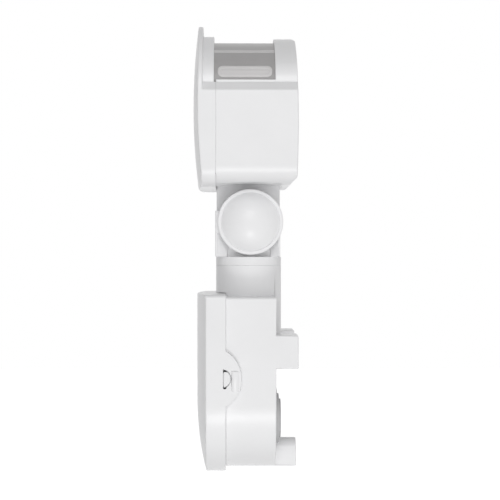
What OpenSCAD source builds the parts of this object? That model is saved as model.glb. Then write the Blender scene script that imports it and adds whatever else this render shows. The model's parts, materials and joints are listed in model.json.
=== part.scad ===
// Outdoor motion sensor light switch: a wall box, a swivelling yoke and a tilting sensor head.
// X runs from the front of the device to the wall at X = 0, Y runs across it, Z is up.
// The origin is on the wall, midway between the two upper fixing holes.

/* [Wall box] */
// Half width of the wall box housing
box_half_w = 30.25; // [28:0.25:34]
// Height of the housing's top above the upper fixing holes
box_top = 23.8; // [22:0.2:27]
// Height of the centre of the housing's round lower end
box_round_z = -22.8; // [-28:0.2:-20]
// Distance from the wall to the housing's back
box_back = 9.6; // [8:0.1:11]
// Distance from the wall to the visible edge between housing and cover
box_seam = 31.5; // [30:0.1:34]
// Distance from the wall to the foremost point of the box cover
box_front = 44.3; // [43:0.1:48]
// Radius of the bulge of the box cover's front
box_bulge_r = 130; // [110:5:200]
// Wall thickness of the housing and the cover
box_wall = 2; // [1.8:0.1:2.4]
// How far the cover stands out past the housing at the sides
cover_overhang = 2.1; // [1.8:0.1:3]
// How far the cover stands out past the housing at the top
cover_top_step = 1.1; // [1:0.1:1.6]

/* [Wall fixings] */
// Distance between the two upper fixing holes
fixing_spacing = 41.4; // [38:0.2:43]
// Radius of the fixing holes
fixing_hole_r = 2.25; // [1.8:0.05:2.6]
// Height of the upper feet
foot_h = 14.4; // [12:0.2:18]
// Height of the lower fixing hole
lower_fixing_z = -46; // [-47:0.2:-45]
// Half width of the lower foot
lower_foot_r = 5.7; // [5:0.1:6]

/* [Cable entries] */
// Height of the two cable entries above the housing's lower end
entry_rise = 22.75; // [22:0.05:24]
// Distance of each cable entry from the middle
entry_y = 12.6; // [12.5:0.1:13]
// Radius of a grommet's flange
grommet_r = 10.8; // [10.5:0.1:12.4]
// Radius of the hole that a grommet fills
entry_r = 9.4; // [8:0.1:10]

/* [Latches] */
// Radius of the round latch tongue on each side of the cover
tongue_r = 13.8; // [12:0.1:14.5]
// Height of the latch
latch_z = -11.3; // [-13:0.1:-10]
// Radius of the round side of the catch in each tongue
latch_r = 4.15; // [3.6:0.05:4.4]

/* [Swivel] */
// Distance of the swivel axis from the wall
axis_x = 21.2; // [20.5:0.1:21.5]
// Radius of the neck and the collar
neck_r = 14.65; // [14.4:0.05:15]
// Height of the neck's top
neck_top = 37.3; // [36.8:0.1:38]
// Height of the collar on the neck
collar_h = 3.9; // [3.5:0.1:4.4]
// Radius of the bore in the neck
neck_bore_r = 11.5; // [11:0.1:11.8]
// Running clearance of the swivel and the tilt pivot
run_gap = 0.06; // [0.03:0.01:0.1]

/* [Tilt joint] */
// Height of the tilt axis
tilt_z = 56.6; // [56.2:0.1:57]
// Distance of the tilt axis from the wall
tilt_x = 20.6; // [20.4:0.1:21.2]
// Distance from the wall to the straight front of the cheeks
cheek_front = 36.2; // [35.8:0.1:36.2]
// Distance from the wall to the straight back of the cheeks and the arm
cheek_back = 7.3; // [6.8:0.1:8]
// Radius of the round ends of the cheeks and the arm
cheek_r = 14.5; // [14:0.1:14.6]
// Distance of the cheeks' outer faces from the middle
cheek_out = 13; // [12:0.1:14]
// Distance of the cheeks' inner faces from the middle
cheek_in = 6.4; // [6:0.1:7]
// Half thickness of the head's arm
arm_half = 5.6; // [5:0.1:5.8]
// Radius of the pivot bolt
bolt_r = 3; // [2.5:0.1:3.5]
// Radius of the round side caps
cap_r = 14.5; // [14:0.1:14.6]

/* [Sensor head] */
// Width of the head
head_w = 72; // [70:0.5:78]
// Height of the head's underside
head_bottom = 72.3; // [72:0.1:73]
// Radius of the head's lower corners
head_corner_r = 9.4; // [8:0.2:11]
// Height where the side walls end
ledge_z = 112.8; // [112:0.1:114]
// Height of the deck that carries the lens
deck_z = 116.6; // [116:0.1:118]
// How far the slanted ledge steps in
ledge_in = 3.5; // [3:0.1:3.8]
// Distance from the wall to the head's back
head_back = 0.1; // [0.1:0.1:1]
// Distance from the wall to the edge between the head's two shells
head_seam = 35.8; // [35.4:0.1:36.5]
// Distance from the wall to the foremost point of the head
head_front = 46; // [45:0.1:47]
// Radius of the bulge of the head's front
head_bulge_r = 280; // [240:10:400]
// Wall thickness of the head
head_wall = 2.2; // [1.8:0.1:2.4]
// Height of the top of the front plate
plate_top = 144.6; // [143:0.1:146]
// Distance from the wall to the back of the front plate
plate_back = 41.5; // [41:0.1:41.8]

/* [Lens] */
// How far the sides of the lens stand inside those of the hoop and the hood
lens_inset = 1; // [0.9:0.1:1.7]
// Height of the lens above the deck
lens_rise = 20.7; // [19.5:0.1:21]
// Thickness of the lens
lens_wall = 1.2; // [0.8:0.1:1.4]
// How far in front of that edge the front hoop starts
hoop_step = 0.8; // [0.6:0.1:1.5]
// Distance from the wall to the hood's front edge
hood_edge = 10.1; // [9:0.1:10.4]

/* [Setting dials] */
// Distance of each dial from the middle
dial_y = 10; // [9:0.5:12]
// Height of the dials
dial_z = 95; // [92:0.5:97]
// Radius of a dial
dial_r = 5; // [4:0.1:5.5]

/* [Hidden] */
$fn = 96;
fit = 0.15;
touch = 0.05;
deep = 60;

white = "#ececed";
grey = "#b9b9bb";
metal = "#c8c8cc";

// Wall box, derived
cover_half_w = box_half_w + cover_overhang;
cover_top = box_top + cover_top_step;
rim_inset = 0.6;
rim_front = box_seam + 2.8;
gasket_t = 0.8;
box_top_r = 1.5;
floor_x = box_back + box_wall;
entry_z = box_round_z - box_half_w + entry_rise;

// Swivel, derived
neck_floor = cover_top + 0.3;
neck_cavity_z = neck_floor + 1.4;
land_z = neck_cavity_z + 3.4;
passage_r = 8;
collar_top = neck_top + collar_h;
ring_z = land_z - 2;
ring_h = 1.7;
ring_groove_r = neck_bore_r - 1.1;
seal_r = 0.8;
seal_z = (land_z + neck_top) / 2;

// Tilt joint, derived
washer_r = 8;
pocket_r = 6.5;
pocket_y = 9.5;
bolt_head_h = 2.9;
arm_boss_r = bolt_r + 3;
arm_wall = 2.2;
arm_hollow = arm_half - 1.9;
arm_front = head_seam - 0.2;
dish_depth = 3;
dish_top = tilt_z - 5;
slot_half = 9.5;
slot_top = tilt_z - 8;

// Head, derived
underside_step = 1.2;
underside_r = 77;
head_floor = head_bottom + underside_step + 1.8;
cover_bottom = head_bottom - 1;
arch_z = ledge_z + 1.8;
bulge_z = 107.5;
bulge_x = head_bulge_r - head_front;
arch_corner = 14;
hoop_edge = head_seam + hoop_step;
hoop_half_w = head_w / 2 - ledge_in - 0.3;
hoop_rise = lens_rise + 2.8;
hood_rise = lens_rise + 1.8;
lens_seat = 1.7;
lens_half_w = hoop_half_w - lens_inset;
well_half_w = lens_half_w - 1.8;
well_rise = lens_rise - 1.8;
screw_y = head_w / 2 - 6.9;
screw_low_z = head_bottom + 8;
screw_high_z = ledge_z - 4.8;
screw_seat = head_back + 14.2;
screw_r = 1.4;
post_r = 3.2;

// Circuit board
board_front = axis_x + 4.7;
board_t = 1.6;
board_back = board_front - board_t;
board_half_w = screw_y - post_r - 1.9;
board_low = head_floor + 2.7;
board_h = 32;
board_high = board_low + board_h;
board_post_y = board_half_w - 3;
board_post_dz = 3.5;
board_post_r = 2.6;
board_screw_r = 1.15;

// Parts on the board
parts_low = board_low + 7;
relay_w = board_half_w - 5;
relay_h = 15.4;
film_w = board_half_w - 6;
film_h = 9.2;
film_depth = 11;
drum_r = 5;
drum_h = 12;

// Terminals
pole_pitch = 7;
poles = 4;
block_half_w = poles * pole_pitch / 2 + 0.6;
block_low = -3;
block_high = 12;
block_front = floor_x + 11.2;
cage_half = 2.5;
wire_x = floor_x + 4.2;
lead_r = 1;

// Sensor carrier
carrier_front = head_seam - 0.9;
carrier_back = hood_edge + 0.8;
carrier_top = deck_z + 7.6;
carrier_half = well_half_w - 3.4;
carrier_base_h = 1.6;
carrier_foot_y = carrier_half - 5.6;
carrier_top_y = carrier_foot_y - 8.2;
can_r = 4.6;
can_h = 4.4;

function pole_y(i) = (i - (poles - 1) / 2) * pole_pitch;
function lead_y(i) = (i - 1) * 2.4;

// Extrudes a Y-Z outline from the distance x0 to the distance x1 in front of the wall
module from_wall(x0, x1) {
    translate([-x1, 0, 0])
        rotate([90, 0, 90])
            linear_extrude(x1 - x0)
                children();
}

// Extrudes an X-Z outline from y0 to y1
module across(y0, y1) {
    translate([0, y1, 0])
        rotate([90, 0, 0])
            linear_extrude(y1 - y0)
                children();
}

// A round bar that runs from the distance x0 to the distance x1 in front of the wall
module bar_x(r, x0, x1, y, z, sides = 48) {
    translate([-x1, y, z])
        rotate([0, 90, 0])
            cylinder(r = r, h = x1 - x0, $fn = sides);
}

// A round bar across the device at the tilt axis
module bar_tilt(r, y0, y1, sides = 96) {
    translate([-tilt_x, y0, tilt_z])
        rotate([-90, 0, 0])
            cylinder(r = r, h = y1 - y0, $fn = sides);
}

// A block given by its distances from the wall, its Y range and its Z range
module block(x, y, z) {
    translate([-x[1], y[0], z[0]])
        cube([x[1] - x[0], y[1] - y[0], z[1] - z[0]]);
}

module mirrored_y() {
    children();
    mirror([0, 1, 0]) children();
}

// Outline of the wall box: straight sides, a round lower end and small upper corners
module box_outline(half_w, top, corner = box_top_r) {
    translate([0, box_round_z]) circle(r = half_w, $fn = 128);
    translate([-half_w, box_round_z]) square([2 * half_w, top - corner - box_round_z]);
    translate([corner - half_w, box_round_z]) square([2 * (half_w - corner), top - box_round_z]);
    for (s = [-1, 1])
        translate([s * (half_w - corner), top - corner]) circle(r = corner);
}

// A three-centred arch of half width a and rise b on the height z0, with straight feet below it
module arch(a, b, z0, feet = 0, corner = arch_corner) {
    big_r = (pow(a - corner, 2) + b * b - corner * corner) / (2 * (b - corner));
    mid = z0 + b - big_r;
    reach = 2 * big_r / (big_r - corner);
    side = [reach * (a - corner), reach * (big_r - b)];
    if (feet > 0) translate([-a, z0 - feet]) square([2 * a, feet]);
    intersection() {
        translate([-a, z0]) square([2 * a, b + 1]);
        union() {
            for (s = [-1, 1])
                translate([s * (a - corner), z0]) circle(r = corner);
            intersection() {
                translate([0, mid]) circle(r = big_r, $fn = 180);
                polygon([[0, mid], [side[0], mid + side[1]], [0, mid + 3 * big_r],
                         [-side[0], mid + side[1]]]);
            }
        }
    }
}

// Outline of the head below the lens: round lower corners and slanted ledges
module head_outline(inset, bottom, deck) {
    half_w = head_w / 2 - inset;
    corner = head_corner_r - inset;
    low = bottom + corner;
    translate([corner - half_w, bottom]) square([2 * (half_w - corner), corner + 1]);
    for (s = [-1, 1])
        translate([s * (half_w - corner), low]) circle(r = corner);
    polygon([[-half_w, low], [half_w, low], [half_w, ledge_z - inset * 0.4],
             [half_w - ledge_in + inset * 0.3, deck], [ledge_in - half_w - inset * 0.3, deck],
             [-half_w, ledge_z - inset * 0.4]]);
}

// The space behind the bulging front of the box cover
module box_front_form(front) {
    translate([box_bulge_r - box_front, 0, box_round_z]) {
        sphere(r = box_bulge_r - (box_front - front), $fn = 200);
        cylinder(r = box_bulge_r - (box_front - front), h = box_top - box_round_z + 20, $fn = 200);
    }
}

module head_front_form(depth) {
    translate([bulge_x, 0, bulge_z]) sphere(r = head_bulge_r - depth, $fn = 200);
}

function unit(v) = v / norm(v);

// A round lead through a list of points, none of its stretches along Y
module lead(points) {
    sides = 10;
    last = len(points) - 1;
    dirs = [for (i = [0:last - 1]) unit(points[i + 1] - points[i])];
    rings = [for (i = [0:last])
        let (
            t = unit(dirs[max(i - 1, 0)] + dirs[min(i, last - 1)]),
            u = unit(cross(t, [0, 1, 0])),
            v = cross(t, u),
            stretch = 1 / (t * dirs[min(i, last - 1)])
        )
        for (k = [0:sides - 1])
            points[i] + lead_r * (cos(k * 360 / sides) * u * stretch + sin(k * 360 / sides) * v)];
    walls = [for (i = [0:last - 1], k = [0:sides - 1])
        let (a = i * sides + k, b = i * sides + (k + 1) % sides)
        [a, b, b + sides, a + sides]];
    ends = [[for (k = [sides - 1:-1:0]) k], [for (k = [0:sides - 1]) last * sides + k]];
    polyhedron(points = rings, faces = concat(walls, ends), convexity = 4);
}

// One foot of the housing, from the wall to the back of the box, with its screw hole
module upper_feet() {
    foot_w = 2 * (box_half_w - fixing_spacing / 2);
    mirrored_y()
        block([0, box_back + 1], [box_half_w - foot_w, box_half_w], [-foot_h / 2, foot_h / 2]);
}

module lower_foot() {
    from_wall(0, box_back + 1) intersection() {
        union() {
            translate([0, lower_fixing_z]) circle(r = lower_foot_r);
            translate([-lower_foot_r, lower_fixing_z - 10]) square([2 * lower_foot_r, 10]);
        }
        box_outline(box_half_w, box_top);
    }
}

module fixing_holes() {
    for (s = [-1, 1])
        bar_x(fixing_hole_r, -1, floor_x + 1, s * fixing_spacing / 2, 0);
    bar_x(fixing_hole_r, -1, floor_x + 1, 0, lower_fixing_z);
}

module box_housing() color(white) {
    difference() {
        union() {
            from_wall(box_back, box_seam) box_outline(box_half_w, box_top);
            from_wall(box_back, rim_front)
                box_outline(box_half_w - rim_inset, box_top - rim_inset);
            upper_feet();
            lower_foot();
            // Neck, and its round back that runs down the outside of the box
            translate([-axis_x, 0, box_top - 1]) cylinder(r = neck_r, h = neck_top - box_top + 1);
            intersection() {
                translate([-axis_x, 0, 5.5]) cylinder(r = neck_r, h = box_top - 5);
                block([0, box_back + 1], [-neck_r, neck_r], [0, box_top + 1]);
            }
            // Raised pads behind the catches
            mirrored_y()
                block([box_seam - 2.2, box_seam - 0.6], [box_half_w - 1, box_half_w + 0.2],
                      [latch_z - 3.2, latch_z + 3.2]);
        }
        from_wall(floor_x, deep) box_outline(box_half_w - box_wall, box_top - box_wall, 1);
        // Room for the cover's upper wall below the front of the neck
        block([box_seam, deep], [-neck_r - 1, neck_r + 1], [box_top - rim_inset, neck_floor]);
        block([rim_front, deep], [-neck_r - 1, neck_r + 1], [box_top - 5, neck_floor]);
        // Bearing bore, ring chamber and lead passage
        translate([-axis_x, 0, land_z - 0.01]) cylinder(r = neck_bore_r, h = deep);
        translate([-axis_x, 0, neck_cavity_z]) cylinder(r = neck_bore_r + 1.7, h = land_z - neck_cavity_z);
        translate([-axis_x, 0, box_top - box_wall - 1]) cylinder(r = passage_r, h = 10);
        for (s = [-1, 1])
            bar_x(entry_r, box_back - 1, floor_x + 1, s * entry_y, entry_z, 96);
        fixing_holes();
    }
    // Stud that takes the terminal block's screw
    difference() {
        bar_x(2.6, floor_x - 0.5, floor_x + 4, 0, block_low - 3.4);
        bar_x(1.05, floor_x - 0.4, floor_x + 5, 0, block_low - 3.4);
    }
}

// The latch tongue's outline in the X-Z plane, behind the seam
module tongue_outline() {
    intersection() {
        translate([-(box_seam + 6.9), latch_z]) circle(r = tongue_r);
        translate([-box_seam - 0.5, latch_z - tongue_r]) square([tongue_r, 2 * tongue_r]);
    }
}

// Outline of the catch in a tongue: a circle that is cut off straight in front of the seam
module latch_outline(inset) {
    latch_x = box_seam + 1.8;
    intersection() {
        translate([-latch_x, latch_z]) circle(r = latch_r - inset);
        translate([0.6 + inset - latch_x, latch_z - latch_r]) square(2 * latch_r);
    }
}

module box_cover() color(white) {
    difference() {
        union() {
            intersection() {
                from_wall(box_seam, deep) box_outline(cover_half_w, cover_top, 2);
                box_front_form(box_front);
            }
            mirrored_y()
                across(-cover_half_w, -box_half_w - 0.25) tongue_outline();
            mirrored_y()
                intersection() {
                    translate([4 - box_seam, 1.9 - cover_half_w, latch_z - 5.4])
                        cylinder(r = 2.6, h = 8.7);
                    block([0, deep], [-cover_half_w - 1, 1.3 - cover_half_w], [-deep, deep]);
                }
        }
        from_wall(box_seam - 1, rim_front + gasket_t + touch)
            box_outline(box_half_w - rim_inset + fit, box_top - rim_inset + fit);
        intersection() {
            from_wall(box_seam - 1, deep)
                box_outline(box_half_w - rim_inset - 1.6, box_top - rim_inset - 1.6);
            box_front_form(box_front - box_wall);
        }
        // D-shaped grooves that leave a catch standing in each tongue
        mirrored_y()
            across(-cover_half_w - 1, 1.35 - cover_half_w) difference() {
                latch_outline(0);
                latch_outline(0.35);
            }
    }
}

module cover_gasket() color(grey) {
    from_wall(rim_front, rim_front + gasket_t) difference() {
        box_outline(box_half_w - rim_inset - 0.1, box_top - rim_inset - 0.1);
        box_outline(box_half_w - box_wall + 0.1, box_top - box_wall + 0.1, 1);
    }
}

module grommet(y) color(grey) {
    difference() {
        union() {
            bar_x(grommet_r, box_back - 1.5, box_back, y, entry_z, 96);
            bar_x(entry_r - 2 * touch, box_back - 0.5, floor_x + 0.5, y, entry_z, 96);
            bar_x(entry_r + 1.2, floor_x, floor_x + 1.4, y, entry_z, 96);
            bar_x(grommet_r - 2.2, box_back - 2.3, box_back, y, entry_z, 96);
        }
        // Thin membrane that the fitter cuts open for the cable
        bar_x(entry_r - 2.2, box_back - 1.3, floor_x + 2, y, entry_z, 96);
    }
}

module left_cable_grommet() grommet(entry_y);

module right_cable_grommet() grommet(-entry_y);

module terminal_block() color("#d8d6cf") {
    difference() {
        union() {
            block([floor_x, block_front], [-block_half_w, block_half_w], [block_low, block_high]);
            block([floor_x + 4, floor_x + 6.2], [-4.2, 4.2], [block_low - 6.6, block_low + 1]);
        }
        for (i = [0:poles - 1]) {
            block([wire_x - 2.3, wire_x + 4.7], [pole_y(i) - cage_half - 0.1, pole_y(i) + cage_half + 0.1],
                  [block_low - 1, block_high + 1]);
            bar_x(2.4, wire_x, block_front + 1, pole_y(i), (block_low + block_high) / 2);
        }
        bar_x(1.7, floor_x + 3, floor_x + 7, 0, block_low - 3.4);
    }
}

module terminal_cages() color("#c9a54f") {
    mid = (block_low + block_high) / 2;
    for (i = [0:poles - 1])
        difference() {
            block([wire_x - 2.3, wire_x + 4.6], [pole_y(i) - cage_half, pole_y(i) + cage_half],
                  [block_low + 2, block_high - 2]);
            translate([-wire_x, pole_y(i), block_low]) cylinder(r = 1.7, h = deep, $fn = 32);
            bar_x(1.25, wire_x, deep, pole_y(i), mid, 32);
        }
}

module terminal_screws() color(metal) {
    mid = (block_low + block_high) / 2;
    for (i = [0:poles - 1])
        difference() {
            union() {
                bar_x(1.2, wire_x + 1.8, wire_x + 5, pole_y(i), mid, 32);
                bar_x(2.1, wire_x + 4.6, wire_x + 6.4, pole_y(i), mid, 32);
            }
            block([wire_x + 5.6, deep], [pole_y(i) - 0.35, pole_y(i) + 0.35], [mid - 3, mid + 3]);
        }
}

module block_screw() color(metal) {
    difference() {
        union() {
            bar_x(1, floor_x + 0.5, floor_x + 7, 0, block_low - 3.4, 32);
            bar_x(2.4, floor_x + 6.2, floor_x + 7.8, 0, block_low - 3.4, 32);
        }
        block([floor_x + 7.1, deep], [-0.4, 0.4], [block_low - 7, block_low]);
        block([floor_x + 7.1, deep], [-3, 3], [block_low - 3.8, block_low - 3]);
    }
}

module box_leads() color("#5b6fa8") {
    for (i = [0:2])
        lead([[-wire_x, pole_y(i), block_high - 2], [-wire_x, pole_y(i), block_high + 2.5],
              [-axis_x, lead_y(i), box_top - 2], [-axis_x, lead_y(i), collar_top - 0.8]]);
}

// Hollows in a cheek's outer face that deepen from its edges towards the slot in the middle
module cheek_dishes() {
    rim = cheek_out - 0.4;
    floor = cheek_out - dish_depth;
    translate([0, 0, collar_top]) linear_extrude(dish_top - collar_top) {
        polygon([[1 - cheek_front, cheek_out + 1], [1 - cheek_front, rim],
                 [-axis_x - slot_half, floor], [-axis_x - slot_half, cheek_out + 1]]);
        polygon([[-cheek_back - 1, cheek_out + 1], [-cheek_back - 1, rim],
                 [slot_half - axis_x, floor], [slot_half - axis_x, cheek_out + 1]]);
    }
}

module swivel_yoke() color(white) {
    spigot_r = neck_bore_r - run_gap;
    difference() {
        union() {
            translate([-axis_x, 0, neck_top]) cylinder(r = neck_r, h = collar_h);
            translate([-axis_x, 0, ring_z - 0.9]) cylinder(r = spigot_r, h = neck_top - ring_z + 1);
            mirrored_y() {
                bar_tilt(cheek_r, cheek_in, cheek_out);
                block([cheek_back, cheek_front], [cheek_in, cheek_out], [collar_top - 1, tilt_z + 5]);
            }
        }
        // Cheeks stay inside the collar's round edge
        difference() {
            translate([-axis_x - 20, -20, neck_top]) cube([40, 40, collar_h]);
            translate([-axis_x, 0, neck_top - 1]) cylinder(r = neck_r, h = collar_h + 2);
        }
        translate([-axis_x, 0, ring_z - 2]) cylinder(r = passage_r, h = deep);
        // Grooves for the snap ring and the seal
        translate([-axis_x, 0, ring_z - 0.1]) difference() {
            cylinder(r = neck_bore_r + 1, h = ring_h + 0.2);
            cylinder(r = ring_groove_r, h = ring_h + 0.2);
        }
        translate([-axis_x, 0, seal_z - seal_r - touch]) difference() {
            cylinder(r = neck_bore_r + 1, h = 2 * (seal_r + touch));
            cylinder(r = neck_bore_r - 2 * seal_r - 0.1, h = 2 * (seal_r + touch));
        }
        // Pivot bore, bolt head pockets and the dished lower faces of the cheeks
        bar_tilt(bolt_r + 0.1, -deep, deep, 48);
        mirrored_y() {
            bar_tilt(pocket_r, pocket_y, cheek_out + 1);
            cheek_dishes();
            block([axis_x - slot_half, axis_x + slot_half],
                  [cheek_out - dish_depth - 1, cheek_out + 1], [collar_top, slot_top]);
        }
    }
}

module snap_ring() color(metal) {
    translate([-axis_x, 0, ring_z]) difference() {
        cylinder(r = neck_bore_r + 1.4, h = ring_h);
        translate([0, 0, -1]) cylinder(r = ring_groove_r + touch, h = ring_h + 2);
        translate([0, -1.2, -1]) cube([neck_r, 2.4, ring_h + 2]);
    }
}

module swivel_seal() color("#3a3a3c") {
    translate([-axis_x, 0, seal_z])
        rotate_extrude()
            translate([neck_bore_r - seal_r - 0.05, 0]) circle(r = seal_r, $fn = 32);
}

module pivot_bolt() color(metal) {
    bar_tilt(bolt_r, -pocket_y - 0.5, pocket_y + bolt_head_h, 48);
    difference() {
        bar_tilt(5, -pocket_y - bolt_head_h, -pocket_y, 48);
        bar_tilt(2.6, -deep, -pocket_y - 1.2, 6);
    }
}

module pivot_nut() color(metal) {
    difference() {
        bar_tilt(5.4, pocket_y, pocket_y + bolt_head_h - 0.2, 6);
        bar_tilt(bolt_r + run_gap, 0, deep, 48);
    }
}

module friction_washers() color("#8f9092") {
    mirrored_y()
        difference() {
            bar_tilt(washer_r, arm_half + touch, cheek_in);
            bar_tilt(bolt_r + 0.2, 0, deep, 48);
        }
}

// A round side cap: a flat rim round a shallow dome, and a collar that plugs into the cheek
module pivot_cap() {
    rim_w = 1.5;
    rim_h = 3;
    dome_r = cap_r - rim_w;
    dome_h = 5.2;
    ball_r = (dome_r * dome_r + dome_h * dome_h) / (2 * dome_h);
    difference() {
        union() {
            difference() {
                bar_tilt(cap_r, cheek_out, cheek_out + rim_h);
                bar_tilt(dome_r, cheek_out + rim_h - 0.6, cheek_out + rim_h + 1);
            }
            intersection() {
                bar_tilt(dome_r, cheek_out, cheek_out + rim_h + dome_h);
                translate([-tilt_x, cheek_out + rim_h - 0.4 + dome_h - ball_r, tilt_z])
                    sphere(r = ball_r, $fn = 200);
            }
            bar_tilt(pocket_r - 0.1, cheek_out - 2, cheek_out + 1);
        }
        bar_tilt(pocket_r - 0.8, 0, cheek_out + 0.6);
        // Hollow back, so the cap has an even wall
        difference() {
            bar_tilt(dome_r - 1.6, cheek_out - 1, cheek_out + 2);
            bar_tilt(pocket_r + 0.8, 0, deep);
        }
    }
}

module left_pivot_cap() color(white) pivot_cap();

module right_pivot_cap() color(white) mirror([0, 1, 0]) pivot_cap();

// Side view of the head's back: upright, then drawn in towards a slanted lower edge
module head_back_form() {
    across(-head_w, head_w) polygon([
        [-deep, head_bottom - 1], [-head_back - 4.5, head_bottom - 1], [-head_back - 3.6, head_bottom],
        [-head_back - 0.5, head_bottom + 3.3], [-head_back, head_bottom + 26],
        [-head_back - 0.3, deck_z + 1], [-head_back - 0.7, deck_z + hood_rise - 2.2],
        [-head_back - 2.6, deck_z + hood_rise + 0.2], [-deep, deck_z + hood_rise + 0.2]
    ]);
}

// Side view of the arm or of the space in it: round about the tilt axis, straight above it
module arm_outline(inset, top) {
    r = cheek_r - inset;
    translate([-tilt_x, tilt_z]) circle(r = r);
    polygon([[0.4 - tilt_x - r, tilt_z], [inset - arm_front, tilt_z + 4], [inset - arm_front, top],
             [-cheek_back - inset, top], [-cheek_back - inset, tilt_z]]);
}

// The four posts that the head's screws run through
module screw_places() {
    for (s = [-1, 1], z = [screw_low_z, screw_high_z])
        translate([0, s * screw_y, z]) children();
}

module board_places() {
    for (s = [-1, 1], z = [board_low + board_post_dz, board_high - board_post_dz])
        translate([0, s * board_post_y, z]) children();
}

// Side walls, back and hood, with the posts inside, before the back is shaped
module head_shell() {
    difference() {
        from_wall(0, head_seam) head_outline(0, head_bottom, deck_z);
        from_wall(head_back + 2.4, deep)
            head_outline(head_wall, head_floor, deck_z - head_wall);
    }
    // Hood behind the lens, with the seat for the lens's rear edge
    difference() {
        from_wall(0, hood_edge) arch(hoop_half_w, hood_rise, deck_z, 1);
        from_wall(hood_edge - lens_seat, deep)
            arch(lens_half_w + fit, lens_rise + fit, deck_z);
        from_wall(head_back + 3, deep) arch(well_half_w, well_rise, deck_z);
    }
    // Low lips along the feet of the lens
    mirrored_y()
        block([hood_edge - 1, head_seam], [lens_half_w + fit, hoop_half_w],
              [deck_z - 0.5, deck_z + 1]);
    screw_places() bar_x(post_r, head_back + 1, head_seam, 0, 0);
    board_places() bar_x(board_post_r, head_back + 1, board_back, 0, 0);
    for (s = [-1, 1])
        bar_x(dial_r + 1.6, head_back + 1, head_back + 7, s * dial_y, dial_z);
}

// The space in the arm that the leads come up through
module arm_space() {
    difference() {
        across(-arm_hollow, arm_hollow) {
            arm_outline(arm_wall, head_floor + 0.5);
            translate([-tilt_x - 5, tilt_z - cheek_r - 1]) square([10, cheek_r]);
        }
        bar_tilt(arm_boss_r, -arm_half, arm_half);
    }
}

module head_housing() color(white) {
    difference() {
        union() {
            intersection() {
                head_shell();
                head_back_form();
            }
            across(-arm_half, arm_half) arm_outline(0, head_floor - 0.5);
        }
        // Room over the cheeks, and a shallow arch through the underside from side to side
        mirrored_y() {
            block([axis_x - neck_r, head_seam + 1], [arm_half, cheek_out + 0.6],
                  [head_bottom - 1, head_bottom + underside_step]);
            across(arm_half, head_w / 2 + 1)
                translate([-axis_x, head_bottom + underside_step + 0.1 - underside_r])
                    circle(r = underside_r, $fn = 200);
        }
        // Opening in the deck, which the sensor carrier stands on
        block([carrier_back + 2, carrier_front - 2], [2 - carrier_half, carrier_half - 2],
              [deck_z - head_wall - 1, deck_z + 1]);
        arm_space();
        bar_tilt(bolt_r + run_gap, -arm_half - 1, arm_half + 1, 48);
        // Screw holes, their deep counterbores and the dial wells
        screw_places() {
            bar_x(screw_r + 0.15, -1, deep, 0, 0);
            bar_x(2.7, -1, screw_seat, 0, 0);
        }
        board_places() bar_x(board_screw_r + touch, head_back + 8, board_back + 1, 0, 0);
        for (s = [-1, 1]) {
            bar_x(dial_r + 0.2, -1, head_back + 4, s * dial_y, dial_z);
            bar_x(2.06, -1, head_back + 8, s * dial_y, dial_z);
        }
    }
}

module head_cover() color(white) {
    difference() {
        intersection() {
            union() {
                from_wall(plate_back, deep) {
                    head_outline(0, cover_bottom, ledge_z + 1);
                    arch(head_w / 2, plate_top - arch_z, arch_z, 4, 20);
                }
                from_wall(head_seam, plate_back + 1) head_outline(0, cover_bottom, deck_z);
                from_wall(hoop_edge, plate_back + 1) arch(hoop_half_w, hoop_rise, deck_z, 1);
            }
            head_front_form(0);
        }
        difference() {
            intersection() {
                from_wall(head_seam - 1, deep) head_outline(head_wall, head_floor - 1.8, deck_z - head_wall);
                head_front_form(head_wall);
            }
            screw_places() bar_x(post_r, head_seam, deep, 0, 0);
        }
        // Seat for the front edge of the lens, and the well in front of it
        from_wall(0, hoop_edge + lens_seat) arch(lens_half_w + fit, lens_rise + fit, deck_z);
        intersection() {
            from_wall(0, plate_back + 1.2) arch(well_half_w, well_rise, deck_z, head_wall + 1);
            head_front_form(head_wall);
        }
        screw_places() bar_x(screw_r + touch, head_seam - 1, head_seam + 4.4, 0, 0);
        // Groove for the gasket
        from_wall(head_seam - 1, head_seam + 0.8) difference() {
            head_outline(0.7, head_bottom - 0.3, deck_z - 0.6);
            head_outline(1.6, head_bottom + 0.6, deck_z - 1.6);
        }
    }
}

module head_gasket() color(grey) {
    from_wall(head_seam, head_seam + 0.75) difference() {
        head_outline(0.75, head_bottom - 0.25, deck_z - 0.65);
        head_outline(1.55, head_bottom + 0.55, deck_z - 1.55);
    }
}

module head_screws() color(metal) {
    screw_places()
        difference() {
            union() {
                bar_x(screw_r, screw_seat, head_seam + 4, 0, 0, 32);
                bar_x(2.6, screw_seat - 2.2, screw_seat, 0, 0, 32);
            }
            block([screw_seat - 3, screw_seat - 1], [-0.4, 0.4], [-1.8, 1.8]);
            block([screw_seat - 3, screw_seat - 1], [-1.8, 1.8], [-0.4, 0.4]);
        }
}

module head_leads() color("#5b6fa8") {
    lead_x = (tilt_x + arm_boss_r + arm_front - arm_wall) / 2;
    for (i = [0:2])
        lead([[-lead_x, lead_y(i), tilt_z - 6], [-lead_x, lead_y(i), board_low + 2],
              [-lead_x + 1.4, lead_y(i), board_low + 4], [-board_front, lead_y(i), board_low + 4]]);
}

module lens() color("#bdbcbc", 0.6) {
    from_wall(hood_edge - lens_seat + touch, hoop_edge + lens_seat - touch) difference() {
        arch(lens_half_w, lens_rise, deck_z);
        arch(lens_half_w - lens_wall, lens_rise - lens_wall, deck_z, 1);
    }
}

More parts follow.
